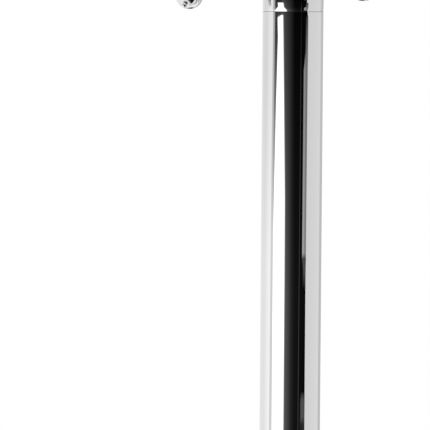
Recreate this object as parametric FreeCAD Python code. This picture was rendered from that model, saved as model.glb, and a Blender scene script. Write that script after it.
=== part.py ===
import FreeCAD, Part
import math
import os

from FreeCAD import Vector

# Floor standing bath filler, in millimetres. The origin is the middle of the foot, on the floor. +Z is up,
# the spout points to -Y, the hot side is -X and the cold side is +X.

# ---- fits ----------------------------------------------------------------------------------------
run = 0.05  # running clearance, on the radius
slip = 0.1  # push fit that is made by hand, on the radius
apart = 0.3  # air between pieces that pass each other
skin = 0.02  # a pressed piece and its bore, on the radius
past = 1.0  # a cutter runs this far past the surface that it opens

# ---- column --------------------------------------------------------------------------------------
column_radius = 25.4  # 2 inch tube
column_wall = 1.5
column_top = 740.0  # height of the ring joint above the floor
column_bore = column_radius - column_wall

# ---- foot ----------------------------------------------------------------------------------------
foot_radius = 62.0
foot_plate = 8.0
foot_step_margin = 6.6  # step outside the column
foot_step = 8.0  # height of the step that the column stands on
foot_hub = 24.0  # hub inside the column
foot_fit = 0.2  # hub or spigot inside the column, on the radius
floor_hole_circle = 100.0
floor_hole_count = 4
floor_hole_radius = 4.5
floor_sink_radius = 8.5
foot_edge = 1.5  # chamfer on the upper rim of the plate
column_seat = foot_plate + foot_step

# ---- water inlets and riser pipes ----------------------------------------------------------------
pipe_offset = 10.5  # pipe axes left and right of the column axis
pipe_radius = 7.5
pipe_wall = 1.0
inlet_radius = 9.316  # G1/2 female, minor radius
inlet_depth = 14.0
filter_radius = 8.8
filter_thickness = 1.2
filter_hole = 1.2
filter_hole_circle = 7.7
filter_hole_count = 8
check_radius = 8.0
check_length = 6.8
check_bar = 1.7  # width of the cartridge's cross bar and stem
poppet_radius = 4.4
poppet_nose = 3.3
seat_web = 2.0  # ledge between the check valve and the foot of the pipe
way_radius = 5.5  # bored waterway
pipe_foot = inlet_depth + filter_thickness + check_length + seat_web
seal_section = 2.0  # thickness of the round seals

# ---- screws --------------------------------------------------------------------------------------
foot_screw_radius = 3.0
foot_screw_length = 5.4
foot_screw_height = 30.0
foot_screw_count = 3
key_share = 0.5  # width over flats of a hexagon key, as a share of the screw's width
column_screw_radius = 2.5
column_screw_length = 6.0
column_screw_drop = 14.0  # below the ring joint
screw_recess = 0.2  # below the surface

# ---- spigot between column and body --------------------------------------------------------------
spigot_depth = 36.0
spigot_rise = 12.0
spigot_neck_radius = 22.0
joint_thickness = 0.3
joint_recess = 0.4  # the ring lies this far inside the column's surface
bolt_radius = 2.5
bolt_offset = 15.0
bolt_head_radius = 4.25
bolt_head = 5.0
bolt_grip = 12.0  # length in the body
socket_rise = 14.0  # pipe socket in the body, above the spigot

# ---- mixer body ----------------------------------------------------------------------------------
valve_rise = 43.4  # valve axis above the ring joint
ball_radius = 33.0
skirt_roll = 0.31  # the buffed lower edge of the skirt draws in by this
skirt_roll_fade = 1.45  # height in which the roll falls to about a third
skirt_roll_steps = 5
skirt_height = 13.0
bead_radius = 28.6
bead_height = 6.0
bead_lip = 1.0
neck_radius = 20.0
neck_bead = 2.5
neck_bead_height = 4.0
neck_bead_drop = 2.0
arm_radius = 20.0
arm_waist = 18.6
arm_start = 24.0
arm_end = 44.0
arm_bead = 1.8
arm_bead_length = 5.0
chamber_radius = 12.0
chamber_floor = 52.0
outflow_radius = 2.8
outflow_offset = 14.4
outflow_spread = 40.0

# ---- swivel --------------------------------------------------------------------------------------
swivel_bore = 15.0
swivel_floor = 62.0  # above the ring joint
swivel_land = 1.3  # plain length left between the base's grooves
swivel_stem = 13.0
swivel_limit = 60.0  # each way
bush_length = 7.0
bush_flange_radius = 18.5
bush_flange = 1.2
bush_gap = 0.2
base_bore = 8.5
base_plug = 12.0  # length of the plug inside the spout tube
base_seal_count = 2
stop_radius = 1.3
stop_thread_radius = 2.0
stop_groove_depth = 1.5
stop_groove = 2 * (stop_radius + apart)  # height of the groove that the stop runs in
first_seal = swivel_floor + swivel_land + seal_section / 2
seal_pitch = seal_section + swivel_land
stop_height = first_seal + base_seal_count * seal_pitch - seal_section / 2 + stop_groove / 2
swivel_shoulder = stop_height + stop_groove / 2 + swivel_land
neck_top = swivel_shoulder + bush_length  # above the ring joint

# ---- spout ---------------------------------------------------------------------------------------
spout_radius = 12.0
spout_wall = 1.5
spout_lift = 3.0  # lower end of the tube, above the neck of the body
spout_riser = 80.0
spout_bend = 100.0
spout_drop = 18.0
spout_foot = neck_top + spout_lift
collar_radius = 20.0
collar_height = 21.0
collar_lip = 2.7
collar_screw_radius = 1.5
collar_screw_height = 8.0  # above the foot of the tube
nose_socket = 8.0
nose_length = 24.0
nose_waist = 6.0  # below the end of the tube
nose_radius = 16.9
nose_roll = 7.2  # height of the round lower rim
nose_roll_middle = 4.1
nose_wall = 1.4
aerator_thread = 11.5  # M24 outside thread
aerator_depth = 12.4
aerator_rim = 14.6
aerator_rim_height = 2.2
aerator_lip = 9.4
aerator_washer_height = 1.4
aerator_wall = 1.3
mesh_hole = 0.95
mesh_pitch = 2.6
mesh_rings = 3
mesh_count_step = 6  # each ring has this many holes more than the one inside it
mesh_length = 8.0

# ---- valves: distances run outwards from the column axis, along the valve axis -------------------
valve_seat = 21.0
valve_bore = 10.6
valve_thread = 10.5
seat_seal_inner = 6.0
seat_seal_outer = 9.5
seat_seal_height = 3.0
disc_radius = 8.4
disc_height = 3.0
disc_inner = 2.4
disc_outer = 7.0
disc_window = 80.0
disc_gap = 0.05
fixed_disc_start = valve_seat + seat_seal_height
moving_disc_start = fixed_disc_start + disc_height + disc_gap
carrier_start = moving_disc_start + disc_height
carrier_radius = 8.3
carrier_height = 4.0
window_length = 5.0
window_height = 11.0
window_start = carrier_start + apart
window_end = window_start + window_length
undercut_near = 1.0  # the undercut starts this far before the windows
undercut_far = 2.0  # and ends this far beyond them
undercut_start = window_start - undercut_near
undercut_end = window_end + undercut_far
undercut_radius = 15.0
spindle_radius = 5.0
spline_radius = 4.0
spline_length = 19.5  # beyond the boss
washer_height = 1.0
flange_radius = 13.5
flange_height = 2.5
hexagon_flats = 24.0
hexagon_height = 7.5
boss_radius = 9.0
boss_height = 5.0
gland_depth = 10.0  # the spindle's seal lies this far inside the boss
clip_height = 1.0
clip_radius = 6.6
clip_groove = 4.2
clip_gap = 3.0
bonnet_radius = 20.2
bonnet_neck = 12.5
bonnet_cover = 6.0  # length beyond the boss
bonnet_wall = 1.6
bonnet_step = 4.0
flange_start = arm_end + washer_height
hexagon_start = flange_start + flange_height
hexagon_end = hexagon_start + hexagon_height
boss_end = hexagon_end + boss_height
clip_start = boss_end + apart
clip_end = clip_start + clip_height
gland_middle = boss_end - gland_depth
spindle_end = boss_end + spline_length
bonnet_end = boss_end + bonnet_cover

# ---- levers --------------------------------------------------------------------------------------
lever_gap = 0.6
hub_radius = 14.0
hub_length = 24.4
hub_face = 11.0
cap_radius = 9.0
cap_recess = 3.0
cap_plug = 1.5
cap_dome = 1.2
screw_radius = 2.4
screw_thread = 7.2
screw_head_radius = 4.25
screw_head = 3.2
spindle_gap = 0.5  # air between the spindle's end and the hub's web
hub_web = 2.0
hub_start = bonnet_end + lever_gap
hub_end = hub_start + hub_length
lever_plane = (hub_start + hub_end) / 2
web_start = spindle_end + spindle_gap
web_end = web_start + hub_web
arm_collar = 6.6
arm_collar_start = 14.2
arm_collar_end = 17.0
arm_neck = 4.5
arm_neck_at = 20.0
grip_radius = 11.5
grip_middle = 47.2
swell_low = (0.30, 0.18)  # share of the way to the grip's middle, and share of the swell reached there
swell_high = (0.62, 0.66)
groove_at = 6.2  # beyond the middle of the grip
groove_width = 1.0
groove_depth = 0.7
tip_flat = 3.4
finial_radius = 2.5
finial_pin = 1.4
finial_pin_length = 4.0
shut_drop = 40.0  # degrees below the horizontal, as both levers hang when shut
cold_open = 11.5  # the cold lever stands this many degrees open

# ---- floor cover ---------------------------------------------------------------------------------
cover_overhang = 9.0
cover_shoulder = 4.0
cover_rim = 4.7
cover_step = 9.5
cover_lip = 1.0  # height of the small step under the roll
cover_turn = 17.5
cover_neck = 32.0
cover_hollow = 18.0
cover_wall = 1.8
cover_ceiling = 31.0
cover_bead = 1.0
cover_bead_height = 3.0
cover_top = 42.0
cover_ring_height = 36.5
cover_ring_section = 1.8
cover_fit = 0.3

UP = Vector(0, 0, 1)
FULL = math.degrees(2 * math.pi)
HALF = FULL / 2
QUARTER = FULL / 4
HEXAGON_SIDES = 6
BULGE = math.cos(math.pi / 4)  # how far the middle of a quarter arc stands out, as a share of its radius


def spot(corner):
    return Vector(corner[0], 0, corner[1])


def turned(*corners, sweep=FULL):
    """Solid turned about the vertical axis from a closed outline of (radius, height) corners. A corner that
    holds two corners is an arc through the first to the second, and one that holds more is a smooth curve."""
    here = spot(corners[0])
    upright = False
    edges = []
    for corner in corners[1:] + corners[:1]:
        if isinstance(corner[0], tuple):
            stops = [here] + [spot(stop) for stop in corner]
            edges.append(curve(stops, upright))
            here = stops[-1]
            upright = False
        else:
            end = spot(corner)
            edges.append(Part.LineSegment(here, end).toShape())
            upright = end.x == here.x
            here = end
    solid = Part.Face(Part.Wire(edges)).revolve(Vector(), UP, sweep)
    if solid.Volume < 0:
        solid.reverse()
    return solid


def curve(stops, upright):
    """Arc through three points, or a smooth curve through more. The curve ends straight up, and starts so
    where it leaves an upright line."""
    arc_stops = 3
    if len(stops) == arc_stops:
        return Part.Arc(*stops).toShape()
    start = UP if upright else (stops[1] - stops[0]).normalize()
    smooth = Part.BSplineCurve()
    smooth.interpolate(stops, InitialTangent=start, FinalTangent=UP)
    return smooth.toShape()


def crown(radius, base, rise):
    """Arc of a shallow dome, from its rim at this radius and height to its top on the axis."""
    sphere = (radius ** 2 + rise ** 2) / (2 * rise)
    middle = radius / 2
    return ((middle, base + rise - sphere + math.sqrt(sphere ** 2 - middle ** 2)), (0, base + rise))


def rod(radius, start, end, x=0.0, y=0.0):
    return Part.makeCylinder(radius, end - start, Vector(x, y, start), UP)


def pipe(outer, inner, start, end, x=0.0, y=0.0):
    return rod(outer, start, end, x, y).cut(rod(inner, start, end, x, y))


def round_seal(middle, height, section=seal_section, x=0.0, y=0.0):
    return Part.makeTorus(middle, section / 2 - run, Vector(x, y, height), UP)


def seal_groove(middle, height, section=seal_section):
    return pipe(middle + section / 2, middle - section / 2, height - section / 2, height + section / 2)


def hexagon_corner(flats):
    """Distance of a hexagon's corners from its middle."""
    return flats / 2 / math.cos(math.pi / HEXAGON_SIDES)


def hexagon(flats, start, end):
    corner = hexagon_corner(flats)
    points = []
    for k in range(HEXAGON_SIDES + 1):
        turn = 2 * math.pi * k / HEXAGON_SIDES
        points.append(Vector(corner * math.cos(turn), corner * math.sin(turn), start))
    return Part.Face(Part.makePolygon(points)).extrude(Vector(0, 0, end - start))


def placed(shape, place):
    copy = shape.copy()
    copy.Placement = place.multiply(shape.Placement)
    return copy


def radial(shape, angle, height):
    """Lays a shape made along +Z out along a radius at this angle and height."""
    lay = FreeCAD.Rotation(Vector(0, 1, 0), QUARTER)
    turn = FreeCAD.Rotation(UP, angle)
    return placed(shape, FreeCAD.Placement(Vector(0, 0, height), turn.multiply(lay)))


def outward(shape, side, drop=0.0):
    """Sets a shape made along the valve axis into the body. Its +X becomes the lever's direction."""
    fall = math.radians(drop)
    arm = Vector(0, -math.cos(fall), -math.sin(fall))
    axis = Vector(side, 0, 0)
    turn = FreeCAD.Rotation(arm, axis.cross(arm), axis, "ZXY")
    return placed(shape, FreeCAD.Placement(Vector(0, 0, column_top + valve_rise), turn))


def set_screw(radius, start, end):
    """Grub screw with a hexagon socket in its outer end."""
    depth = (end - start) / 2
    return rod(radius, start, end).cut(hexagon(2 * radius * key_share, end - depth, end))


def save(name, *solids):
    shape = solids[0] if len(solids) == 1 else Part.makeCompound(list(solids))
    if not shape.isValid() or shape.Volume <= 0:
        raise ValueError(name + " is not a sound solid")
    shape.exportStep("parts/" + name + ".step")


# ---- foot and what it holds ----------------------------------------------------------------------
def make_foot():
    """Plate with floor holes, a step for the column and a hub with the two inlets."""
    hub_top = column_seat + foot_hub
    foot = rod(foot_radius, 0, foot_plate)
    rim = [e for e in foot.Edges if abs(e.BoundBox.ZMin - foot_plate) < skin and e.Closed]
    foot = foot.makeChamfer(foot_edge, rim)
    foot = foot.fuse(rod(column_radius + foot_step_margin, 0, column_seat))
    foot = foot.fuse(rod(column_bore - foot_fit, 0, hub_top))
    for side in (-1, 1):
        x = side * pipe_offset
        step = inlet_depth
        foot = foot.cut(rod(inlet_radius, 0, step, x))
        foot = foot.cut(rod(filter_radius, step, step + filter_thickness, x))
        step += filter_thickness
        foot = foot.cut(rod(check_radius, step, step + check_length, x))
        foot = foot.cut(rod(way_radius, step, hub_top, x))
        foot = foot.cut(rod(pipe_radius + slip, pipe_foot, hub_top, x))
        groove = seal_groove(pipe_radius + seal_section / 2, foot_seal_height())
        foot = foot.cut(groove.translated(Vector(x, 0, 0)))
    sink_depth = floor_sink_radius - floor_hole_radius
    for k in range(floor_hole_count):
        turn = math.radians(FULL * (k + 0.5) / floor_hole_count)
        place = Vector(math.cos(turn), math.sin(turn), 0) * (floor_hole_circle / 2)
        hole = rod(floor_hole_radius, 0, foot_plate)
        sink = turned((0, foot_plate - sink_depth), (floor_hole_radius, foot_plate - sink_depth),
                      (floor_sink_radius, foot_plate), (0, foot_plate))
        foot = foot.cut(hole.fuse(sink).translated(place))
    for hole in foot_screw_shapes(rod):
        foot = foot.cut(hole)
    return foot


def foot_seal_height():
    return column_seat + foot_hub - 2 * seal_section


def foot_screw_shapes(form, extra=0.0):
    """One shape for each screw that holds the column on the foot: a screw, or the hole it sits in."""
    start = column_radius - screw_recess - foot_screw_length
    end = column_radius - screw_recess + extra
    shapes = []
    for k in range(foot_screw_count):
        turn = QUARTER + FULL * k / foot_screw_count
        shapes.append(radial(form(foot_screw_radius, start, end), turn, foot_screw_height))
    return shapes


def make_inlet_filter(side):
    """Flat strainer washer with a ring of holes."""
    start = inlet_depth
    end = start + filter_thickness
    disc = rod(filter_radius - slip, start, end, side * pipe_offset)
    for k in range(filter_hole_count):
        turn = math.radians(FULL * k / filter_hole_count)
        x = side * pipe_offset + filter_hole_circle / 2 * math.cos(turn)
        y = filter_hole_circle / 2 * math.sin(turn)
        disc = disc.cut(rod(filter_hole, start, end, x, y))
    return disc


def make_check_valve(side):
    """Non-return cartridge: an open cage with its poppet on a cross bar."""
    start = inlet_depth + filter_thickness
    end = start + check_length
    x = side * pipe_offset
    cage = pipe(check_radius - slip, way_radius, start, end, x)
    reach = (check_radius + way_radius) / 2
    bar = Part.makeBox(2 * reach, check_bar, check_bar, Vector(x - reach, -check_bar / 2, start))
    stem = rod(check_bar / 2, start, end, x)
    poppet = turned((0, end - check_bar), (poppet_radius, end - check_bar), (poppet_nose, end), (0, end))
    return cage.fuse(bar).fuse(stem).fuse(poppet.translated(Vector(x, 0, 0)))


def riser_seal(side, height):
    return round_seal(pipe_radius + seal_section / 2, height, x=side * pipe_offset)


def make_riser_pipe(side):
    end = column_top + spigot_rise + socket_rise - apart
    return pipe(pipe_radius, pipe_radius - pipe_wall, pipe_foot, end, side * pipe_offset)


def make_column():
    column = pipe(column_radius, column_bore, column_seat, column_top)
    for hole in foot_screw_shapes(rod, past):
        column = column.cut(hole)
    return column.cut(column_screw_shape(rod, past))


# ---- joint between column and body ---------------------------------------------------------------
def column_screw_shape(form, extra=0.0):
    start = column_radius - screw_recess - column_screw_length
    end = column_radius - screw_recess + extra
    return radial(form(column_screw_radius, start, end), QUARTER, column_top - column_screw_drop)


def head_seal_height():
    return column_top + spigot_rise - seal_section / 2


def make_spigot():
    """Plug that joins the column to the body, with ways for the two pipes and the two bolts."""
    bottom = column_top - spigot_depth
    top = column_top + spigot_rise
    spigot = rod(column_bore - foot_fit, bottom, column_top).fuse(rod(spigot_neck_radius, column_top, top))
    for side in (-1, 1):
        x = side * pipe_offset
        y = side * bolt_offset
        spigot = spigot.cut(rod(pipe_radius + slip, bottom, top, x))
        spigot = spigot.cut(rod(pipe_radius + seal_section, top - seal_section, top, x))
        spigot = spigot.cut(rod(bolt_radius + slip, bottom, top, 0, y))
        spigot = spigot.cut(rod(bolt_head_radius + slip, bottom, bottom + bolt_head + screw_recess, 0, y))
    return spigot.cut(column_screw_shape(rod))


def make_spigot_bolt(side):
    y = side * bolt_offset
    bottom = column_top - spigot_depth + screw_recess
    head = rod(bolt_head_radius, bottom, bottom + bolt_head, 0, y)
    key = hexagon(bolt_head_radius, bottom, bottom + bolt_head / 2).translated(Vector(0, y, 0))
    shank = rod(bolt_radius, bottom + bolt_head, column_top + spigot_rise + bolt_grip, 0, y)
    return head.fuse(shank).cut(key)


def make_joint_ring():
    outer = column_radius - joint_recess
    return pipe(outer, spigot_neck_radius + slip, column_top, column_top + joint_thickness)


# ---- mixer body ----------------------------------------------------------------------------------
def body_outline():
    """Skirt, bead, ball and neck, turned about the column axis. Heights are above the ring joint."""
    lower = joint_thickness
    roll = [(column_radius - skirt_roll * math.exp(-k), lower + k * skirt_roll_fade)
            for k in range(skirt_roll_steps)]
    bead_top = skirt_height + bead_height
    waist = column_radius - bead_lip
    ball_start = valve_rise - math.sqrt(ball_radius ** 2 - waist ** 2)
    ball_end = valve_rise + math.sqrt(ball_radius ** 2 - (neck_radius + bead_lip) ** 2)
    bead_end = neck_top - neck_bead_drop
    bead_start = bead_end - neck_bead_height
    outline = turned(
        (0, lower),
        roll[0],
        (*roll[1:], (column_radius, lower + skirt_roll_steps * skirt_roll_fade)),
        (column_radius, skirt_height),
        (column_radius + bead_lip, skirt_height),
        ((bead_radius, skirt_height + bead_height / 2), (column_radius + bead_lip, bead_top)),
        (column_radius, bead_top),
        (waist, ball_start),
        ((ball_radius, valve_rise), (neck_radius + bead_lip, ball_end)),
        (neck_radius, ball_end + bead_lip),
        (neck_radius, bead_start),
        ((neck_radius + neck_bead, (bead_start + bead_end) / 2), (neck_radius, bead_end)),
        (neck_radius, neck_top),
        (0, neck_top),
    )
    return outline.translated(Vector(0, 0, column_top))


def arm_outline():
    """One side arm, turned about the valve axis: a waist, then a bead at the open end."""
    bead_start = arm_end - arm_bead_length
    middle = (arm_start + bead_start) / 2
    return turned(
        (0, 0),
        (arm_radius, 0),
        (arm_radius, arm_start),
        ((arm_waist, middle), (arm_radius - bead_lip, bead_start)),
        ((arm_radius + arm_bead, (bead_start + arm_end) / 2), (arm_radius, arm_end)),
        (0, arm_end),
    )


def valve_chamber():
    """Bore for one valve, with its inner port, its undercut and the three ways to the mixing chamber."""
    cutter = rod(way_radius, pipe_offset, valve_seat)
    cutter = cutter.fuse(rod(valve_bore, valve_seat, arm_end))
    cutter = cutter.fuse(rod(undercut_radius, undercut_start, undercut_end))
    for turn in (-outflow_spread, 0, outflow_spread):
        x = -outflow_offset * math.cos(math.radians(turn))
        y = outflow_offset * math.sin(math.radians(turn))
        cutter = cutter.fuse(rod(outflow_radius, 0, (undercut_start + undercut_end) / 2, x, y))
    return cutter


def make_body():
    """Ball shaped body with two side arms, bored for pipes, valves and the spout's swivel."""
    body = body_outline()
    for side in (-1, 1):
        body = body.fuse(outward(arm_outline(), side))
    neck = column_top + spigot_rise
    body = body.cut(rod(spigot_neck_radius + slip, column_top, neck))
    body = body.cut(rod(chamber_radius, column_top + chamber_floor, column_top + swivel_floor))
    body = body.cut(rod(swivel_bore, column_top + swivel_floor, column_top + neck_top))
    for side in (-1, 1):
        x = side * pipe_offset
        body = body.cut(rod(pipe_radius + slip, neck, neck + socket_rise, x))
        body = body.cut(rod(way_radius, neck, column_top + valve_rise, x))
        body = body.cut(rod(bolt_radius + slip, neck, neck + bolt_grip + bolt_radius, 0, side * bolt_offset))
        body = body.cut(outward(valve_chamber(), side, QUARTER))
    hole = rod(stop_thread_radius, swivel_bore - past, neck_radius + past)
    return body.cut(radial(hole, QUARTER, column_top + stop_height))


# ---- valves --------------------------------------------------------------------------------------
def windows(start, end, turn):
    """Two facing sector windows, for the ceramic discs and the carrier."""
    corners = [(disc_inner, start), (disc_outer, start), (disc_outer, end), (disc_inner, end)]
    sector = turned(*corners, sweep=disc_window)
    pair = []
    for angle in (turn, turn + HALF):
        copy = sector.copy()
        copy.rotate(Vector(), UP, angle - disc_window / 2)
        pair.append(copy)
    return pair[0].fuse(pair[1])


def make_seat_seal():
    return pipe(seat_seal_outer, seat_seal_inner, valve_seat, fixed_disc_start)


def make_disc(start, turn):
    return rod(disc_radius, start, start + disc_height).cut(windows(start, start + disc_height, turn))


def make_valve_housing():
    """Threaded body of the headwork, with a window each side, a flange, a hexagon and a boss."""
    bore_end = carrier_start + carrier_height + apart
    housing = rod(valve_thread, fixed_disc_start, flange_start)
    housing = housing.fuse(rod(flange_radius, flange_start, hexagon_start))
    housing = housing.fuse(hexagon(hexagon_flats, hexagon_start, hexagon_end))
    housing = housing.fuse(rod(boss_radius, hexagon_end, boss_end))
    housing = housing.cut(rod(disc_radius + run, fixed_disc_start, bore_end))
    housing = housing.cut(rod(spindle_radius + run, bore_end, boss_end))
    length = 2 * (valve_thread + past)
    slot = Part.makeBox(length, window_height, window_end - window_start,
                        Vector(-length / 2, -window_height / 2, window_start))
    return housing.cut(slot)


def make_housing_washer():
    return pipe(flange_radius, valve_thread + slip, arm_end, flange_start)


def make_spindle():
    """Carrier for the moving disc, a shaft with grooves for seal and clip, and an end for the lever."""
    shoulder = carrier_start + carrier_height
    spindle = rod(carrier_radius, carrier_start, shoulder).fuse(rod(spindle_radius, shoulder, clip_end))
    spindle = spindle.fuse(rod(spline_radius, shoulder, spindle_end))
    spindle = spindle.cut(windows(carrier_start, shoulder, QUARTER))
    seal_floor = spindle_radius - seal_section
    spindle = spindle.cut(pipe(spindle_radius + past, seal_floor, gland_middle - seal_section / 2,
                               gland_middle + seal_section / 2))
    spindle = spindle.cut(pipe(clip_radius, clip_groove, clip_start, clip_end))
    return spindle.cut(rod(screw_radius + slip, spindle_end - screw_thread, spindle_end))


def make_spindle_seal():
    return round_seal(spindle_radius - seal_section / 2, gland_middle)


def make_spindle_clip():
    """Open circlip."""
    clip = pipe(clip_radius, clip_groove + skin, clip_start, clip_end)
    gap = Part.makeBox(clip_radius + past, clip_gap, clip_height, Vector(0, -clip_gap / 2, clip_start))
    return clip.cut(gap)


def make_bonnet():
    """Bell shaped cover over the headwork, screwed on the housing's boss."""
    inner = hexagon_corner(hexagon_flats) + apart
    return turned(
        (inner, arm_end),
        (bonnet_radius, arm_end),
        (bonnet_radius, arm_end + bonnet_step),
        (bonnet_radius - bonnet_wall, arm_end + bonnet_step + bead_lip),
        ((bonnet_neck + bonnet_wall, hexagon_end), (bonnet_neck, bonnet_end - bonnet_wall)),
        (bonnet_neck, bonnet_end),
        (boss_radius - bonnet_wall, bonnet_end),
        (boss_radius - bonnet_wall, clip_end),
        (boss_radius + slip, clip_end),
        (boss_radius + slip, hexagon_end + apart),
        (inner, hexagon_end + apart),
    )


# ---- levers --------------------------------------------------------------------------------------
def grip_outline(distance):
    """Corner on the round end of the grip, this far beyond its middle."""
    return (math.sqrt(grip_radius ** 2 - distance ** 2), grip_middle + distance)


def make_lever_arm():
    """Collar, slim neck and pear shaped grip with a groove round its end, turned about the arm's own axis."""
    groove_end = groove_at + groove_width
    root = arm_collar_start - hub_radius / 2
    collar = arm_neck + bead_lip
    collar_middle = (arm_collar_start + arm_collar_end) / 2
    groove_floor = grip_outline(groove_at)[0] - groove_depth
    tip = lever_tip()

    def swell(share_of_way, share_of_swell):
        return (arm_neck + share_of_swell * (grip_radius - arm_neck),
                arm_neck_at + share_of_way * (grip_middle - arm_neck_at))

    arm = turned(
        (0, root),
        (collar, root),
        (collar, arm_collar_start),
        ((arm_collar, collar_middle), (arm_neck, arm_collar_end)),
        (arm_neck, arm_neck_at),
        (swell(*swell_low), swell(*swell_high), (grip_radius, grip_middle)),
        (grip_outline(groove_at / 2), grip_outline(groove_at)),
        (groove_floor, grip_middle + groove_at),
        (groove_floor, grip_middle + groove_end),
        grip_outline(groove_end),
        (grip_outline((groove_end + tip - grip_middle) / 2), (tip_flat, tip)),
        (0, tip),
    )
    return arm.cut(rod(finial_pin + slip, tip - finial_pin_length, tip))


def lever_tip():
    return grip_middle + math.sqrt(grip_radius ** 2 - tip_flat ** 2)


def lay_arm(shape):
    """Turns a shape made about the arm's axis into the lever's own plane."""
    lay = FreeCAD.Rotation(Vector(0, 1, 0), QUARTER)
    return placed(shape, FreeCAD.Placement(Vector(0, 0, lever_plane), lay))


def make_lever():
    """Round hub with the lever's arm, bored for the spindle, its screw and the index cap."""
    hub = turned(
        (0, hub_start),
        (hub_face, hub_start),
        (hub_face, hub_start + bead_lip),
        ((hub_radius, lever_plane), (hub_face, hub_end - bead_lip)),
        (hub_face - bead_lip, hub_end),
        (0, hub_end),
    )
    lever = hub.fuse(lay_arm(make_lever_arm()))
    lever = lever.cut(rod(spline_radius + slip, hub_start, web_start))
    lever = lever.cut(rod(screw_radius + slip, web_start, web_end))
    lever = lever.cut(rod(screw_head_radius + slip, web_end, hub_end))
    return lever.cut(rod(cap_radius + slip, hub_end - cap_recess, hub_end))


def make_finial():
    """Small ball on a pin, set into the end of the grip."""
    tip = lever_tip()
    middle = tip + math.sqrt(finial_radius ** 2 - finial_pin ** 2)
    ball = Part.makeSphere(finial_radius, Vector(0, 0, middle))
    return lay_arm(ball.fuse(rod(finial_pin, tip - finial_pin_length + apart, middle)))


def make_lever_screw():
    start = spindle_end - screw_thread + apart
    head = rod(screw_head_radius, web_end, web_end + screw_head)
    key = hexagon(screw_head_radius, web_end + screw_head / 2, web_end + screw_head)
    return head.fuse(rod(screw_radius, start, web_end)).cut(key)


def make_index_cap():
    """Domed disc with a short plug, pushed into the hub."""
    floor = hub_end - cap_recess
    return turned(
        (0, floor - cap_plug),
        (screw_head_radius, floor - cap_plug),
        (screw_head_radius, floor),
        (cap_radius, floor),
        (cap_radius, hub_end),
        crown(cap_radius, hub_end, cap_dome),
    )


# ---- spout ---------------------------------------------------------------------------------------
def make_stop_screw():
    """Rear screw whose plain tip runs in the groove of the swivel base, and limits the swing."""
    shoulder = swivel_bore + apart
    tip = rod(stop_radius, swivel_bore - run - stop_groove_depth + apart, shoulder)
    screw = set_screw(stop_thread_radius, shoulder, neck_radius - screw_recess).fuse(tip)
    return radial(screw, QUARTER, column_top + stop_height)


def make_swivel_bush():
    start = swivel_shoulder + bush_gap
    return turned(
        (swivel_stem, start),
        (swivel_bore - skin, start),
        (swivel_bore - skin, neck_top),
        (bush_flange_radius, neck_top),
        (bush_flange_radius, neck_top + bush_flange),
        (swivel_stem, neck_top + bush_flange),
    ).translated(Vector(0, 0, column_top))


def base_seal_middle():
    return swivel_bore - seal_section / 2


def base_seal_heights():
    return [first_seal + k * seal_pitch for k in range(base_seal_count)]


def make_base_seal(height):
    return round_seal(base_seal_middle(), column_top + height)


def make_spout_base():
    """Swivel stem with two seal grooves and the groove for the stop, and a plug for the spout's tube."""
    outer = swivel_bore - run
    plug = spout_radius - spout_wall - slip
    base = rod(outer, swivel_floor + apart, swivel_shoulder)
    base = base.fuse(rod(swivel_stem - run, swivel_shoulder, spout_foot))
    base = base.fuse(rod(plug, spout_foot, spout_foot + base_plug))
    base = base.cut(rod(base_bore, swivel_floor, spout_foot + base_plug))
    for height in base_seal_heights():
        base = base.cut(seal_groove(base_seal_middle(), height))
    floor = outer - stop_groove_depth
    reach = swivel_limit + math.degrees(math.asin(stop_groove / 2 / floor))
    lower = stop_height - stop_groove / 2
    upper = stop_height + stop_groove / 2
    corners = [(floor, lower), (outer + past, lower), (outer + past, upper), (floor, upper)]
    groove = turned(*corners, sweep=2 * reach)
    groove.rotate(Vector(), UP, QUARTER - reach)
    return base.cut(groove).translated(Vector(0, 0, column_top))


def bend_height():
    return column_top + spout_foot + spout_riser


def swan_neck(radius):
    """Round bar of the spout's path: riser, half turn and short drop."""
    foot = column_top + spout_foot
    top = bend_height()
    riser = rod(radius, foot, top)
    section = Part.Face(Part.Wire(Part.makeCircle(radius, Vector(0, 0, top), UP)))
    bend = section.revolve(Vector(0, -spout_bend, top), Vector(1, 0, 0), HALF)
    if bend.Volume < 0:
        bend.reverse()
    drop = rod(radius, top - spout_drop, top, 0, -2 * spout_bend)
    return riser.fuse(bend).fuse(drop)


def make_spout_tube():
    return swan_neck(spout_radius).cut(swan_neck(spout_radius - spout_wall))


def make_spout_collar():
    """Bell at the foot of the spout, which hides the swivel."""
    foot = neck_top + bush_flange + 2 * run
    top = foot + collar_height
    bore = spout_radius + slip
    lip = bore + nose_wall
    bead_start = top - collar_lip - bead_lip
    collar = turned(
        (swivel_stem + slip, foot),
        (collar_radius, foot),
        (collar_radius, foot + collar_lip),
        (collar_radius - bead_lip, foot + collar_lip + bead_lip / 2),
        ((lip + bead_lip, foot + collar_height / 2), (lip, bead_start)),
        ((lip + bead_lip + nose_wall, bead_start + collar_lip / 2), (lip, bead_start + collar_lip)),
        (lip, top),
        (bore, top),
        (bore, spout_foot + apart),
        (swivel_stem + slip, spout_foot + apart),
    ).translated(Vector(0, 0, column_top))
    return collar.cut(collar_screw_shape(rod, collar_radius))


def collar_screw_shape(form, extra=0.0):
    start = spout_radius + slip
    end = start + 2 * collar_screw_radius + extra
    height = column_top + spout_foot + collar_screw_height
    return radial(form(collar_screw_radius, start, end), QUARTER, height)


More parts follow.
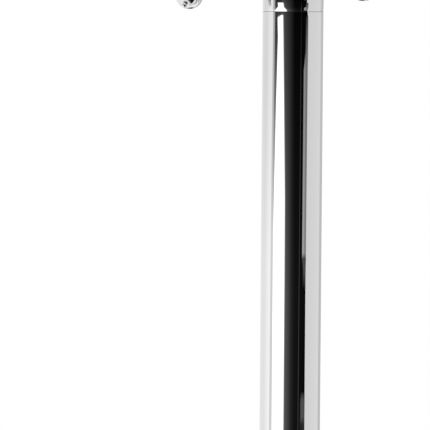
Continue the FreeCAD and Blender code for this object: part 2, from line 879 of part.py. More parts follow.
def make_outlet_nose():
    """Flared nose at the end of the spout, threaded for the aerator. Heights are from the tube's end."""
    lip = spout_radius + slip + nose_wall
    waist = lip + nose_wall / 2
    thread = aerator_thread + slip
    bead_top = nose_socket - bead_lip
    return turned(
        (spout_radius + slip, nose_socket),
        (lip, nose_socket),
        (lip, bead_top),
        ((lip + nose_wall + bead_lip, bead_top - nose_wall), (lip, bead_top - 2 * nose_wall)),
        ((waist, -nose_waist), (nose_radius - nose_wall, nose_roll - nose_length)),
        ((nose_radius, nose_roll_middle - nose_length), (nose_radius - nose_wall / 2, -nose_length)),
        (thread, -nose_length),
        (thread, -nose_length + aerator_depth),
        (spout_radius - spout_wall, -nose_length + aerator_depth),
        (spout_radius - spout_wall, 0),
        (spout_radius + slip, 0),
    )


def make_aerator_washer():
    top = -nose_length + aerator_depth
    return pipe(aerator_thread - slip, aerator_lip, top - aerator_washer_height, top)


def make_aerator_housing():
    """Threaded ring with a rim, and two flats on the rim for a spanner."""
    bore = aerator_thread - aerator_wall
    top = -nose_length + aerator_depth - aerator_washer_height
    bottom = -nose_length - aerator_rim_height
    ledge = bottom + aerator_wall
    housing = turned(
        (bore, top),
        (aerator_thread, top),
        (aerator_thread, -nose_length),
        (aerator_rim, -nose_length),
        (aerator_rim, bottom),
        (aerator_lip, bottom),
        (aerator_lip, ledge),
        (bore, ledge),
    )
    flat = 2 * aerator_rim - 2 * bead_lip
    for side in (-1, 1):
        x = side * (flat / 2 + bead_lip) - bead_lip
        cutter = Part.makeBox(2 * bead_lip, flat, aerator_rim_height, Vector(x, -flat / 2, bottom))
        housing = housing.cut(cutter)
    return housing


def make_aerator_insert():
    """Plastic stream former with rings of holes."""
    start = -nose_length - aerator_rim_height + aerator_wall
    insert = rod(aerator_thread - aerator_wall - slip, start, start + mesh_length)
    insert = insert.cut(rod(mesh_hole, start, start + mesh_length))
    for ring in range(1, mesh_rings + 1):
        count = mesh_count_step * ring
        for k in range(count):
            turn = math.radians(FULL * k / count)
            x = ring * mesh_pitch * math.cos(turn)
            y = ring * mesh_pitch * math.sin(turn)
            insert = insert.cut(rod(mesh_hole, start, start + mesh_length, x, y))
    return insert


def at_outlet(shape):
    return shape.translated(Vector(0, -2 * spout_bend, bend_height() - spout_drop))


# ---- floor cover ---------------------------------------------------------------------------------
def make_floor_cover():
    """Spun cover: rim, step, a roll that turns into a hollow, and a neck with a seal groove."""
    rim = foot_radius + cover_overhang
    shoulder = foot_radius + cover_shoulder
    meet = cover_neck + cover_hollow
    width = shoulder - meet
    middle = (cover_turn ** 2 - cover_step ** 2 - width ** 2) / (2 * (cover_turn - cover_step))
    roll = cover_turn - middle

    def roll_arc(radius, start_width):
        start = math.acos(start_width / radius)
        half_way = (start + math.pi / 2) / 2
        return ((meet + radius * math.cos(half_way), middle + radius * math.sin(half_way)),
                (meet, middle + radius))

    hollow_middle = cover_turn + cover_hollow

    def hollow_arc(radius, end_height):
        end = math.asin((hollow_middle - end_height) / radius)
        half_way = (end + math.pi / 2) / 2
        return ((meet - radius * math.cos(half_way), hollow_middle - radius * math.sin(half_way)),
                (meet - radius * math.cos(end), end_height))

    inside_roll = roll - cover_wall
    inside_step = middle + math.sqrt(inside_roll ** 2 - (width - cover_wall) ** 2)
    bore = column_radius + cover_fit
    bead_start = cover_top - cover_bead_height
    inside_arc = hollow_arc(cover_hollow + cover_wall, cover_ceiling)
    inside_half_way, inside_top = roll_arc(inside_roll, width - cover_wall)
    ledge = cover_step - cover_lip
    cover = turned(
        (rim, apart),
        (rim, cover_rim),
        ((shoulder + BULGE * (rim - shoulder), cover_rim + BULGE * (ledge - cover_rim)), (shoulder, ledge)),
        (shoulder, cover_step),
        roll_arc(roll, width),
        hollow_arc(cover_hollow, hollow_middle),
        (cover_neck, bead_start),
        ((cover_neck + cover_bead, (bead_start + cover_top) / 2), (cover_neck, cover_top)),
        (bore, cover_top),
        (bore, cover_ceiling),
        inside_arc[1],
        (inside_arc[0], inside_top),
        (inside_half_way, (shoulder - cover_wall, inside_step)),
        (shoulder - cover_wall, ledge - cover_wall),
        (rim - cover_wall, cover_rim - cover_wall),
        (rim - cover_wall, apart),
    )
    half_groove = cover_ring_section / 2 + run
    return cover.cut(pipe(bore + cover_ring_section, bore - apart, cover_ring_height - half_groove,
                          cover_ring_height + half_groove))


def make_cover_ring():
    return round_seal(column_radius + cover_ring_section / 2, cover_ring_height, cover_ring_section)


def main():
    os.makedirs("parts", exist_ok=True)
    sides = {"hot": -1, "cold": 1}
    drops = {"hot": shut_drop, "cold": shut_drop - cold_open}
    save("foot", make_foot())
    save("foot_set_screws", *foot_screw_shapes(set_screw))
    save("inlet_filters", *[make_inlet_filter(side) for side in sides.values()])
    save("riser_foot_seals", *[riser_seal(side, foot_seal_height()) for side in sides.values()])
    save("riser_head_seals", *[riser_seal(side, head_seal_height()) for side in sides.values()])
    save("column_tube", make_column())
    save("column_spigot", make_spigot())
    save("spigot_bolts", *[make_spigot_bolt(side) for side in sides.values()])
    save("column_set_screw", column_screw_shape(set_screw))
    save("joint_ring", make_joint_ring())
    save("mixer_body", make_body())
    for name, side in sides.items():
        drop = drops[name]
        save(name + "_check_valve", make_check_valve(side))
        save(name + "_riser_pipe", make_riser_pipe(side))
        save(name + "_seat_seal", outward(make_seat_seal(), side))
        save(name + "_fixed_disc", outward(make_disc(fixed_disc_start, 0), side, shut_drop))
        save(name + "_valve_housing", outward(make_valve_housing(), side))
        save(name + "_housing_washer", outward(make_housing_washer(), side))
        save(name + "_bonnet", outward(make_bonnet(), side))
        save(name + "_moving_disc", outward(make_disc(moving_disc_start, QUARTER), side, drop))
        save(name + "_spindle", outward(make_spindle(), side, drop))
        save(name + "_spindle_seal", outward(make_spindle_seal(), side))
        save(name + "_spindle_clip", outward(make_spindle_clip(), side, drop))
        save(name + "_lever", outward(make_lever(), side, drop))
        save(name + "_finial", outward(make_finial(), side, drop))
        save(name + "_lever_screw", outward(make_lever_screw(), side, drop))
        save(name + "_index_cap", outward(make_index_cap(), side, drop))
    save("swivel_bush", make_swivel_bush())
    save("spout_stop_screw", make_stop_screw())
    save("spout_base", make_spout_base())
    save("spout_seals", *[make_base_seal(height) for height in base_seal_heights()])
    save("spout_tube", make_spout_tube())
    save("spout_collar", make_spout_collar())
    save("collar_set_screw", collar_screw_shape(set_screw))
    save("outlet_nose", at_outlet(make_outlet_nose()))
    save("aerator_washer", at_outlet(make_aerator_washer()))
    save("aerator_housing", at_outlet(make_aerator_housing()))
    save("aerator_insert", at_outlet(make_aerator_insert()))
    save("floor_cover", make_floor_cover())
    save("cover_o_ring", make_cover_ring())


main()
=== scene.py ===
import math

import bpy
from mathutils import Matrix, Vector


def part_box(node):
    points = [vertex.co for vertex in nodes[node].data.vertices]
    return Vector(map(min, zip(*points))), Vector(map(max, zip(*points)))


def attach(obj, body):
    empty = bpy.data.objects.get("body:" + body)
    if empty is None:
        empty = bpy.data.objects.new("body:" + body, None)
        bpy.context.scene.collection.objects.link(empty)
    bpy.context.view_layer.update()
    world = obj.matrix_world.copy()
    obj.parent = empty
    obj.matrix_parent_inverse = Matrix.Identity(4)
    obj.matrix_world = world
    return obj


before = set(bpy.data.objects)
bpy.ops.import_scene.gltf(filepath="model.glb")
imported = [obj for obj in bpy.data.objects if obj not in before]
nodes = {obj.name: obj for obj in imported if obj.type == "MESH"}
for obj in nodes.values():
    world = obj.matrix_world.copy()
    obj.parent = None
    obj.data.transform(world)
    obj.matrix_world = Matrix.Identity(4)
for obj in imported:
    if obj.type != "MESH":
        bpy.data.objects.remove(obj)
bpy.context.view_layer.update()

MM = 0.001


# ---------------------------------------------------------------- colours and nodes

def colour(hex_code):
    """An sRGB hex value as the linear colour that a shader works in."""
    channels = [int(hex_code[i:i + 2], 16) / 255 for i in (1, 3, 5)]
    linear = [c / 12.92 if c <= 0.04045 else ((c + 0.055) / 1.055) ** 2.4 for c in channels]
    return (*linear, 1.0)


def add(tree, kind, inputs=None, **settings):
    """Adds one node. An input is a number, a colour or another node's output. Settings are the node's own
    fields."""
    new = tree.nodes.new("ShaderNode" + kind)
    for name, value in settings.items():
        setattr(new, name, value)
    for socket, value in (inputs or {}).items():
        if isinstance(value, bpy.types.NodeSocket):
            tree.links.new(value, new.inputs[socket])
        else:
            new.inputs[socket].default_value = value
    return new


def blank(name):
    """A new material with an empty node tree, that tree, and the place on the piece that patterns follow."""
    material = bpy.data.materials.new(name)
    material.use_nodes = True
    tree = material.node_tree
    tree.nodes.clear()
    return material, tree, add(tree, "TexCoord").outputs["Object"]


def finish_with(tree, shader):
    add(tree, "OutputMaterial", {"Surface": shader.outputs[0]})


# ---------------------------------------------------------------- finishes

def polished_chrome():
    """Brass, buffed and plated in bright chromium: a cold clear mirror. The buffing leaves a faint ripple,
    and the plate is a little cloudier in broad patches, where a cloth has gone over it."""
    material, tree, place = blank("polished_chrome")
    ripple = add(tree, "TexNoise", {"Vector": place, "Scale": 1 / (12 * MM), "Detail": 0.0})
    haze = add(tree, "TexNoise", {"Vector": place, "Scale": 1 / (38 * MM), "Detail": 5.0})
    wiped = add(tree, "TexNoise", {"Vector": place, "Scale": 1 / (3 * MM), "Detail": 2.0})
    cloud = add(tree, "Mix", {"Factor": 0.25, "A": haze.outputs[0], "B": wiped.outputs[0]})
    rough = add(tree, "MapRange", {"Value": cloud.outputs[0], "From Min": 0.35, "From Max": 0.75,
                                   "To Min": 0.010, "To Max": 0.034})
    bump = add(tree, "Bump", {"Height": ripple.outputs[0], "Strength": 0.02, "Distance": 0.05 * MM})
    finish_with(tree, add(tree, "BsdfPrincipled", {
        "Base Color": colour("#D3D3D3"), "Metallic": 1.0, "Roughness": rough.outputs[0],
        "Normal": bump.outputs[0]}))
    return material


def turned_brass():
    """Cast brass, faced on a lathe and left bare: warm yellow with the tool's fine rings, and a brown bloom.
    The rings are 1.2 mm apart, five times as coarse as a real feed, so that they show."""
    material, tree, place = blank("turned_brass")
    flat = add(tree, "VectorMath", {0: place, 1: (1.0, 1.0, 0.0)}, operation="MULTIPLY")
    reach = add(tree, "VectorMath", {0: flat.outputs[0]}, operation="LENGTH")
    split = add(tree, "SeparateXYZ", {0: place})
    travel = add(tree, "Math", {0: reach.outputs["Value"], 1: split.outputs["Z"]}, operation="ADD")
    turns = add(tree, "Math", {0: travel.outputs[0], 1: 2 * math.pi / (1.2 * MM)}, operation="MULTIPLY")
    ring = add(tree, "Math", {0: turns.outputs[0]}, operation="SINE")
    bloom = add(tree, "TexNoise", {"Vector": place, "Scale": 1 / (16 * MM), "Detail": 6.0, "Roughness": 0.6})
    # The real brown bloom sets the tone. On top of it the tool rings add painted shade, darker in each
    # groove, and painted light, lighter on each ridge.
    bloom_and_ring_shade = add(tree, "Math", {0: ring.outputs[0], 1: 0.05, 2: bloom.outputs[0]}, operation="MULTIPLY_ADD")
    tone = add(tree, "ValToRGB", {"Fac": bloom_and_ring_shade.outputs[0]})
    tone.color_ramp.elements[0].position = 0.35
    tone.color_ramp.elements[0].color = colour("#A08646")
    tone.color_ramp.elements[1].position = 0.62
    tone.color_ramp.elements[1].color = colour("#CDB470")
    rough = add(tree, "MapRange", {"Value": bloom.outputs[0], "From Min": 0.3, "From Max": 0.7,
                                   "To Min": 0.42, "To Max": 0.22})
    bump = add(tree, "Bump", {"Height": ring.outputs[0], "Strength": 0.5, "Distance": 0.03 * MM})
    finish_with(tree, add(tree, "BsdfPrincipled", {
        "Base Color": tone.outputs[0], "Metallic": 1.0, "Roughness": rough.outputs[0],
        "Normal": bump.outputs[0]}))
    return material


def drawn_copper():
    """Copper tube, pulled through a die: rosy, with long draw marks and darker oxide in them."""
    material, tree, place = blank("drawn_copper")
    drawn = add(tree, "VectorMath", {0: place, 1: (1 / (0.6 * MM), 1 / (0.6 * MM), 1 / (60 * MM))},
                operation="MULTIPLY")
    marks = add(tree, "TexNoise", {"Vector": drawn.outputs[0], "Scale": 1.0, "Detail": 3.0})
    oxide = add(tree, "TexNoise", {"Vector": place, "Scale": 1 / (22 * MM), "Detail": 5.0})
    tone = add(tree, "Mix", {"Factor": oxide.outputs[0], "A": colour("#9A5638"), "B": colour("#D08A61")},
               data_type="RGBA")
    rough = add(tree, "MapRange", {"Value": marks.outputs[0], "To Min": 0.22, "To Max": 0.48})
    bump = add(tree, "Bump", {"Height": marks.outputs[0], "Strength": 0.3, "Distance": 0.02 * MM})
    finish_with(tree, add(tree, "BsdfPrincipled", {
        "Base Color": tone.outputs["Result"], "Metallic": 1.0, "Roughness": rough.outputs[0],
        "Normal": bump.outputs[0]}))
    return material


def stainless_steel():
    """Machined stainless steel: grey and slightly warm, satin from the tool, with brighter rubbed places."""
    material, tree, place = blank("stainless_steel")
    rubbed = add(tree, "TexNoise", {"Vector": place, "Scale": 1 / (2.5 * MM), "Detail": 4.0})
    tool = add(tree, "TexNoise", {"Vector": place, "Scale": 1 / (0.3 * MM), "Detail": 1.0})
    tone = add(tree, "Mix", {"Factor": rubbed.outputs[0], "A": colour("#A19F9A"), "B": colour("#C4C2BD")},
               data_type="RGBA")
    rough = add(tree, "MapRange", {"Value": rubbed.outputs[0], "To Min": 0.36, "To Max": 0.18})
    bump = add(tree, "Bump", {"Height": tool.outputs[0], "Strength": 0.2, "Distance": 0.01 * MM})
    finish_with(tree, add(tree, "BsdfPrincipled", {
        "Base Color": tone.outputs["Result"], "Metallic": 1.0, "Roughness": rough.outputs[0],
        "Normal": bump.outputs[0]}))
    return material


def moulded(name, dark, light, grain, rough_low, rough_high, depth):
    """A plain moulded or turned material. Its tone drifts, and its skin has a grain that is given in mm."""
    material, tree, place = blank(name)
    skin = add(tree, "TexNoise", {"Vector": place, "Scale": 1 / (grain * MM), "Detail": 3.0})
    drift = add(tree, "TexNoise", {"Vector": place, "Scale": 1 / (9 * MM), "Detail": 2.0})
    tone = add(tree, "Mix", {"Factor": drift.outputs[0], "A": colour(dark), "B": colour(light)},
               data_type="RGBA")
    rough = add(tree, "MapRange", {"Value": skin.outputs[0], "To Min": rough_low, "To Max": rough_high})
    bump = add(tree, "Bump", {"Height": skin.outputs[0], "Strength": 0.3, "Distance": depth * MM})
    finish_with(tree, add(tree, "BsdfPrincipled", {
        "Base Color": tone.outputs["Result"], "Roughness": rough.outputs[0], "Normal": bump.outputs[0]}))
    return material


def white_porcelain():
    """Fired porcelain under clear glaze: a soft warm white with sparse pin specks, and a glaze that flowed,
    so its shine waves a little."""
    material, tree, place = blank("white_porcelain")
    flow = add(tree, "TexNoise", {"Vector": place, "Scale": 1 / (5 * MM), "Detail": 0.0})
    speck = add(tree, "TexNoise", {"Vector": place, "Scale": 1 / (0.45 * MM), "Detail": 1.0})
    fleck = add(tree, "MapRange", {"Value": speck.outputs[0], "From Min": 0.76, "From Max": 0.82})
    body = add(tree, "Mix", {"Factor": flow.outputs[0], "A": colour("#E9E6DD"), "B": colour("#F2F0EA")},
               data_type="RGBA")
    tone = add(tree, "Mix", {"Factor": fleck.outputs[0], "A": body.outputs["Result"], "B": colour("#B9B1A0")},
               data_type="RGBA")
    rough = add(tree, "MapRange", {"Value": flow.outputs[0], "To Min": 0.05, "To Max": 0.12})
    bump = add(tree, "Bump", {"Height": flow.outputs[0], "Strength": 0.15, "Distance": 0.05 * MM})
    finish_with(tree, add(tree, "BsdfPrincipled", {
        "Base Color": tone.outputs["Result"], "Roughness": rough.outputs[0], "Coat Weight": 0.6,
        "Coat Roughness": 0.03, "Normal": bump.outputs[0]}))
    return material


def fired_enamel(name, deep, bright):
    """Vitreous enamel, fired into a ring on the porcelain: a strong glassy colour, thinner at its edges."""
    material, tree, place = blank(name)
    pool = add(tree, "TexNoise", {"Vector": place, "Scale": 1 / (1.6 * MM), "Detail": 2.0})
    tone = add(tree, "Mix", {"Factor": pool.outputs[0], "A": colour(deep), "B": colour(bright)},
               data_type="RGBA")
    rough = add(tree, "MapRange", {"Value": pool.outputs[0], "To Min": 0.06, "To Max": 0.16})
    finish_with(tree, add(tree, "BsdfPrincipled", {
        "Base Color": tone.outputs["Result"], "Roughness": rough.outputs[0], "Coat Weight": 0.5}))
    return material


finishes = {
    "polished_chrome": polished_chrome(),
    "turned_brass": turned_brass(),
    "drawn_copper": drawn_copper(),
    "stainless_steel": stainless_steel(),
    # moulded rubber: dull black with a bloom
    "black_rubber": moulded("black_rubber", "#19191A", "#242425", 0.4, 0.55, 0.75, 0.02),
    # turned nylon: black with a faint sheen
    "black_nylon": moulded("black_nylon", "#1C1D20", "#282A2E", 0.3, 0.38, 0.55, 0.01),
    # moulded acetal: milky and waxy
    "acetal": moulded("acetal", "#DEDCD5", "#EBE9E3", 0.8, 0.32, 0.46, 0.01),
    # lapped alumina: a pale matt ceramic
    "alumina": moulded("alumina", "#E4E1D8", "#F0EEE7", 0.15, 0.24, 0.38, 0.005),
    "white_porcelain": white_porcelain(),
}
for node in nodes.values():
    for slot in node.material_slots:
        slot.material = finishes[slot.material.name.split(".")[0]]


# ---------------------------------------------------------------- small pieces of the looks

def piece(name, verts, faces, material, body):
    """A mesh piece with smooth faces, its finish, and the body that it moves with."""
    mesh = bpy.data.meshes.new(name)
    mesh.from_pydata(verts, [], faces)
    mesh.materials.append(material)
    mesh.polygons.foreach_set("use_smooth", [True] * len(mesh.polygons))
    made = bpy.data.objects.new(name, mesh)
    bpy.context.scene.collection.objects.link(made)
    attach(made, body)


def index_ring(name, cap, body, material):
    """Enamel ring, fired a little proud of the cap's dome. It sits on the cap wherever the cap's box says."""
    low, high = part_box(cap)
    side = math.copysign(1.0, low[0])
    top = max(abs(low[0]), abs(high[0]))
    middle = ((low[1] + high[1]) / 2, (low[2] + high[2]) / 2)
    inner, outer = 4.6 * MM, 6.0 * MM
    dome = 34.35 * MM  # radius of the sphere that the cap's dome is cut from
    proud, sunk = 0.10 * MM, 0.05 * MM
    around_count, across_count = 96, 8
    verts, faces = [], []
    for i in range(around_count):
        turn = 2 * math.pi * i / around_count
        for j in range(across_count + 1):
            share = j / across_count
            radius = inner + (outer - inner) * share
            surface = top - (dome - math.sqrt(dome ** 2 - radius ** 2))
            lift = math.sin(math.pi * share) ** 0.5 * (proud + sunk) - sunk
            verts.append((side * (surface + lift), middle[0] + radius * math.cos(turn),
                          middle[1] + radius * math.sin(turn)))
    width = across_count + 1
    for i in range(around_count):
        here, there = i * width, (i + 1) % around_count * width
        for j in range(across_count):
            corners = (here + j, here + j + 1, there + j + 1, there + j)
            faces.append(corners if side > 0 else corners[::-1])
        closing = (here + across_count, here, there, there + across_count)
        faces.append(closing if side > 0 else closing[::-1])
    piece(name, verts, faces, material, body)


index_ring("hot_index_ring", "hot_index_cap", "hot_lever",
           fired_enamel("red_enamel", "#8E1B20", "#B5282C"))
index_ring("cold_index_ring", "cold_index_cap", "cold_lever",
           fired_enamel("blue_enamel", "#173B78", "#2555A4"))


def outlet_gauze():
    """Woven wire gauze across the outlet, one wire over and one under."""
    low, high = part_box("aerator_housing")
    centre = ((low[0] + high[0]) / 2, (low[1] + high[1]) / 2)
    height = low[2] + 0.85 * MM
    radius, pitch, wire = 9.35 * MM, 1.1 * MM, 0.13 * MM
    sides, steps = 6, 4
    count = int(radius / pitch)
    verts, faces = [], []
    for lay in (0, 1):
        for k in range(-count, count + 1):
            offset = k * pitch
            half = math.sqrt(radius ** 2 - offset ** 2)
            runs = max(2, round(2 * half / pitch) * steps)
            first = len(verts)
            for i in range(runs + 1):
                along = -half + 2 * half * i / runs
                over = math.cos(math.pi * along / pitch) * (1 if (k + lay) % 2 else -1)
                for s in range(sides):
                    turn = 2 * math.pi * s / sides
                    across = offset + wire * math.cos(turn)
                    rise = height + wire * over + wire * math.sin(turn)
                    spot = (along, across) if lay else (across, along)
                    verts.append((centre[0] + spot[0], centre[1] + spot[1], rise))
            for i in range(runs):
                for s in range(sides):
                    a, b = first + i * sides + s, first + i * sides + (s + 1) % sides
                    corners = (a, b, b + sides, a + sides)
                    faces.append(corners[::-1] if lay else corners)
            start, end = [first + s for s in range(sides)], [first + runs * sides + s for s in range(sides)]
            faces.append(start if lay else start[::-1])
            faces.append(end[::-1] if lay else end)
    piece("outlet_gauze", verts, faces, finishes["stainless_steel"], "spout")


outlet_gauze()


# ---------------------------------------------------------------- studio

BEARING = math.radians(23.6)
toward = Vector((math.sin(BEARING), -math.cos(BEARING), 0))
right = Vector((math.cos(BEARING), math.sin(BEARING), 0))


def around(angle, radius, height):
    """A point round the column: angle in degrees from the camera's own bearing, to its right."""
    turn = math.radians(angle)
    return (toward * math.cos(turn) + right * math.sin(turn)) * radius + Vector((0, 0, height))


def card_light():
    """Card and cloth seen only in the chrome, each point as bright as the card's own value there."""
    material, tree, _ = blank("studio_card")
    value = add(tree, "Attribute", attribute_name="brightness").outputs["Fac"]
    finish_with(tree, add(tree, "Emission", {"Color": colour("#FFFFFF"), "Strength": value}))
    material.cycles.emission_sampling = "NONE"
    return material


CARD = card_light()


def at(angles, *levels):
    """Points of a card's row: these angles, each with its own brightness."""
    return list(zip(angles, levels))


STRIP = 1.9


def lit(left, edge):
    """Row of the strip softbox: even across, and falling off over a few degrees at both of its sides."""
    return at((left - 1.5, left + 2.0, edge - 1.8, edge + 1.2, edge + 4.5), 0.15, STRIP, STRIP, 0.26, 0.12)


def rails(outer, step, inner, outside, inside):
    """Row of the strip's frame: an outer rail that dims towards a crisp step, and an inner rail."""
    return at((outer, step - 0.8, step, inner), outside, outside - 0.35 * (outside - inside), inside, inside)


def card(name, radius, *rows):
    """A card curved round the column, for reflections only. A row is its height, its points of (angle,
    brightness), and its own radius where that differs from the card's."""
    steps = 12
    verts, values, faces = [], [], []
    for height, points, *own in rows:
        reach = own[0] if own else radius
        for (a, light_a), (b, light_b) in zip(points, points[1:]):
            for i in range(steps + 1):
                share = i / steps
                verts.append(around(a + (b - a) * share, reach, height))
                values.append(light_a + (light_b - light_a) * share)
    across = (len(rows[0][1]) - 1) * (steps + 1)
    for row in range(len(rows) - 1):
        for i in range(across - 1):
            k = row * across + i
            faces.append((k, k + 1, k + across + 1, k + across))
    mesh = bpy.data.meshes.new(name)
    mesh.from_pydata(verts, [], faces)
    mesh.attributes.new("brightness", "FLOAT", "POINT").data.foreach_set("value", values)
    mesh.materials.append(CARD)
    made = bpy.data.objects.new(name, mesh)
    bpy.context.scene.collection.objects.link(made)
    made.visible_camera = False
    made.visible_diffuse = False
    made.visible_transmission = False
    made.visible_shadow = False


# Card heights, in metres above the floor. Below the floor, a card leaves no gap at its foot.
ON_FLOOR, BELOW, TOP = 0.004, -0.05, 1.70

# Black cloth in front of the column: its left side catches some of the strip's light, less of it higher up.
CLOTH_LOW = (0.17, 0.10, 0.027, 0.010, 0.004)
CLOTH_HIGH = (0.10, 0.05, 0.018, 0.003, 0.002)
card("black_cloth", 1.60,
     (ON_FLOOR, at((14, 20, 28, 34, 40), *CLOTH_LOW), 0.24),
     (ON_FLOOR, at((-10, 4, 14, 30, 44), *CLOTH_LOW), 0.60),
     (ON_FLOOR, at((-24, -12, 2, 16, 52), *CLOTH_LOW), 1.20),
     (ON_FLOOR, at((-31, -15, 2, 16, 55.6), *CLOTH_LOW)),
     (0.37, at((-31, -15, 0, 12, 55.9), *CLOTH_LOW)),
     (0.722, at((-40, -20, -5, 5, 58.6), *CLOTH_HIGH)),
     (0.738, at((-44, -24, -5, 5, 52.5), *CLOTH_HIGH)),
     (0.745, at((-44, -24, -5, 5, 53.6), *CLOTH_HIGH)),
     (TOP, at((-44, -24, -5, 5, 53.6), *CLOTH_HIGH)))
# More of the cloth, above the strip softbox.
SIDE_CLOTH = (-70, -60, -38)
card("black_cloth_side", 1.62,
     (0.70, at(SIDE_CLOTH, 0.035, 0.07, 0.07)),
     (0.735, at(SIDE_CLOTH, 0.035, 0.07, 0.07)),
     (0.745, at(SIDE_CLOTH, 0.02, 0.03, 0.05)),
     (TOP, at(SIDE_CLOTH, 0.02, 0.03, 0.04)))
# The strip softbox stands to the left and narrows towards its top.
card("strip_softbox", 1.45,
     (ON_FLOOR, lit(-77, -25)),
     (0.40, lit(-78.5, -25.5)),
     (0.50, lit(-72.5, -26.5)),
     (0.62, lit(-68, -32.5)),
     (0.70, lit(-65, -37)),
     (0.7236, lit(-61, -38.5)),
     (0.7264, lit(-46, -39)))
# Its frame: white in the light at the bottom, with a black inner rail from half way up.
card("strip_frame", 1.44,
     (ON_FLOOR, rails(-88, -81, -74, 0.95, 0.95)),
     (0.46, rails(-85, -79, -74, 0.95, 0.95)),
     (0.62, rails(-84, -74, -65, 0.85, 0.25)),
     (0.70, rails(-82, -72, -59, 0.75, 0.06)),
     (0.790, rails(-82, -72, -68, 0.75, 0.04)))
# A grey card to the right, dimmer towards its top, with a dark foot below it and a slanting upper end.
card("grey_card", 1.40,
     (0.395, at((43, 47, 50, 56), 0.01, 0.01, 0.02, 0.05)),
     (0.416, at((44, 47, 50, 56), 0.01, 0.11, 0.11, 0.10)),
     (0.431, at((41, 47, 50, 56.5), 0.08, 0.11, 0.08, 0.06)),
     (0.437, at((41, 47, 50, 56.5), 0.53, 0.53, 0.32, 0.30)),
     (0.660, at((42, 47, 50, 58), 0.36, 0.36, 0.25, 0.23)),
     (0.684, at((48, 50, 53, 59), 0.06, 0.14, 0.22, 0.28)),
     (0.7255, at((48, 50, 53, 59), 0.01, 0.02, 0.05, 0.16)))
card("grey_card_low", 1.40,
     (ON_FLOOR, at((36, 44, 56), 0.02, 0.03, 0.04)),
     (0.227, at((36, 44, 56), 0.02, 0.03, 0.04)),
     (0.236, at((38, 44, 56), 0.06, 0.13, 0.08)),
     (0.256, at((38, 44, 56), 0.06, 0.13, 0.08)),
     (0.266, at((38, 44, 56), 0.01, 0.02, 0.02)))
card("cloth_seam", 1.55,
     (BELOW, at((28.5, 30.5), 0.09, 0.09)),
     (0.62, at((29.5, 31.5), 0.065, 0.065)),
     (0.745, at((29.5, 31.5), 0.006, 0.006)))
# White walls. The left one is brightest beside the strip, and the right one dims towards the back.
LEFT_WALL = (-178, -160, -118, -95, -80)
card("left_panel", 1.50,
     (BELOW, at(LEFT_WALL, 0.8, 1.05, 1.15, 1.35, 1.35)),
     (0.42, at(LEFT_WALL, 0.8, 1.05, 1.15, 1.35, 1.35)),
     (0.65, at(LEFT_WALL, 0.8, 1.00, 1.00, 1.20, 1.20)),
     (TOP, at(LEFT_WALL, 0.8, 1.00, 1.00, 1.10, 1.10)))
RIGHT_WALL = (59, 120, 143, 160)
card("right_panel", 1.62,
     (BELOW, at(RIGHT_WALL, 0.98, 1.05, 0.65, 0.65)),
     (TOP, at(RIGHT_WALL, 0.92, 0.95, 0.75, 0.75)))
# A narrow black flag straight behind, grey on its right side.
card("back_flag", 1.66,
     (BELOW, at((156, 164, 167, 186), 0.70, 0.68, 0.05, 0.02)),
     (TOP, at((156, 164, 167, 183), 0.70, 0.68, 0.05, 0.02)))
# White board on the floor, round the sides and the back, with a dark lane towards the back flag. Its far edge
# is about as bright as the walls' feet.
LANE = (60, 120, 143, 165, 172, 188, 196, 250, 320)
FAR_EDGE = (60, 120, 143, 164, 167, 182, 200, 250, 320)
card("floor_board", 1.45,
     (ON_FLOOR, at(LANE, 1.3, 1.3, 1.3, 1.3, 1.3, 1.3, 1.3, 1.3, 1.3), 0.12),
     (ON_FLOOR, at(LANE, 1.3, 1.3, 1.3, 1.3, 1.2, 1.2, 1.3, 1.3, 1.3), 0.40),
     (ON_FLOOR, at(LANE, 1.25, 1.25, 1.2, 1.2, 0.1, 0.08, 1.2, 1.25, 1.3), 0.62),
     (ON_FLOOR, at(LANE, 1.1, 1.1, 0.9, 0.9, 0.08, 0.05, 1.05, 1.2, 1.3), 1.10),
     (ON_FLOOR, at(FAR_EDGE, 0.98, 1.05, 0.65, 0.68, 0.05, 0.05, 1.05, 1.2, 1.3)))


def pale_floor():
    """Matt white board: it takes the soft shadow near the foot and goes to plain white further out. From
    below it is clear, so that the underside of the foot shows."""
    material, tree, place = blank("pale_floor")
    grain = add(tree, "TexNoise", {"Vector": place, "Scale": 1 / (12 * MM), "Detail": 3.0})
    tone = add(tree, "Mix", {"Factor": grain.outputs[0], "A": colour("#ECECEC"), "B": colour("#F0F0F0")},
               data_type="RGBA")
    board = add(tree, "BsdfDiffuse", {"Color": tone.outputs["Result"]})
    white = add(tree, "Emission", {"Color": colour("#FFFFFF"), "Strength": 1.0})
    far = add(tree, "VectorMath", {0: place}, operation="LENGTH")
    fade = add(tree, "MapRange", {"Value": far.outputs["Value"], "From Min": 0.5, "From Max": 1.5},
               interpolation_type="SMOOTHSTEP")
    ray = add(tree, "LightPath")
    mirror = add(tree, "Math", {0: ray.outputs["Is Glossy Ray"], 1: ray.outputs["Is Transmission Ray"]},
                 operation="MAXIMUM")
    amount = add(tree, "Math", {0: fade.outputs[0], 1: mirror.outputs[0]}, operation="MAXIMUM")
    top = add(tree, "MixShader", {0: amount.outputs[0], 1: board.outputs[0], 2: white.outputs[0]})
    under = add(tree, "NewGeometry").outputs["Backfacing"]
    clear = add(tree, "BsdfTransparent")
    finish_with(tree, add(tree, "MixShader", {0: under, 1: top.outputs[0], 2: clear.outputs[0]}))
    return material


FLOOR_RADIUS = 2.6
floor_mesh = bpy.data.meshes.new("floor")
rim = [around(angle, FLOOR_RADIUS, 0) for angle in range(0, 360, 5)]
floor_mesh.from_pydata(rim, [], [tuple(range(len(rim)))])
floor_mesh.materials.append(pale_floor())
floor = bpy.data.objects.new("floor", floor_mesh)
bpy.context.scene.collection.objects.link(floor)

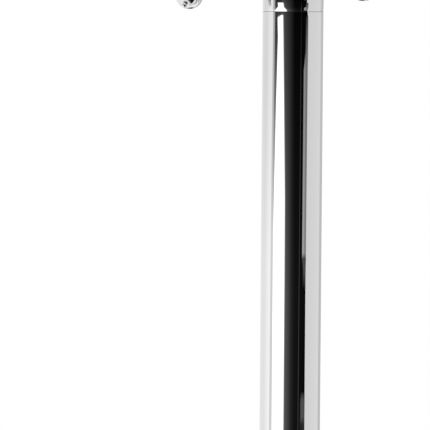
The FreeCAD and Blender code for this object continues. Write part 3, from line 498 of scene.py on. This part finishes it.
world = bpy.data.worlds.new("studio")
world.use_nodes = True
tree = world.node_tree
tree.nodes.clear()
ray = add(tree, "LightPath")
seen = add(tree, "Math", {0: ray.outputs["Is Camera Ray"], 1: ray.outputs["Is Glossy Ray"]},
           operation="MAXIMUM")
seen = add(tree, "Math", {0: seen.outputs[0], 1: ray.outputs["Is Transmission Ray"]}, operation="MAXIMUM")
# The ground is plain white to the eye and in the chrome, and lights the matt surfaces a little less.
level = add(tree, "MapRange", {"Value": seen.outputs[0], "To Min": 0.72, "To Max": 1.0})
sky = add(tree, "Background", {"Color": colour("#FFFFFF"), "Strength": level.outputs[0]})
add(tree, "OutputWorld", {"Surface": sky.outputs[0]})
bpy.context.scene.world = world

lamp_data = bpy.data.lights.new("soft_lamp", "AREA")
lamp_data.shape = "DISK"
lamp_data.size = 1.2
lamp_data.energy = 38
lamp = bpy.data.objects.new("soft_lamp", lamp_data)
lamp.location = around(-40, 1.5, 2.3)
lamp.rotation_mode = "QUATERNION"
lamp_aim = Vector((0, 0, 0.4))
lamp.rotation_quaternion = (lamp_aim - lamp.location).to_track_quat("-Z", "Y")
lamp.visible_glossy = False
bpy.context.scene.collection.objects.link(lamp)


# ---------------------------------------------------------------- camera

DISTANCE = 3.0
EYE_HEIGHT, AIM_HEIGHT = 0.760, 0.5694
SIDESTEP = -0.0640  # the middle of the picture is left of the column
ROLL = math.radians(0.386)  # the column leans a little in the picture

camera_data = bpy.data.cameras.new("camera")
camera_data.lens = 300.3
camera_data.sensor_width = 36
camera_data.clip_end = 100
camera = bpy.data.objects.new("camera", camera_data)
bpy.context.scene.collection.objects.link(camera)
aside = right * SIDESTEP
camera.location = toward * DISTANCE + aside + Vector((0, 0, EYE_HEIGHT))
aim = aside + Vector((0, 0, AIM_HEIGHT))
camera.rotation_mode = "QUATERNION"
gaze = (aim - camera.location).to_track_quat("-Z", "Y")
camera.rotation_quaternion = gaze @ Matrix.Rotation(ROLL, 3, "Z").to_quaternion()
bpy.context.scene.camera = camera

bpy.context.scene.view_settings.view_transform = "Standard"
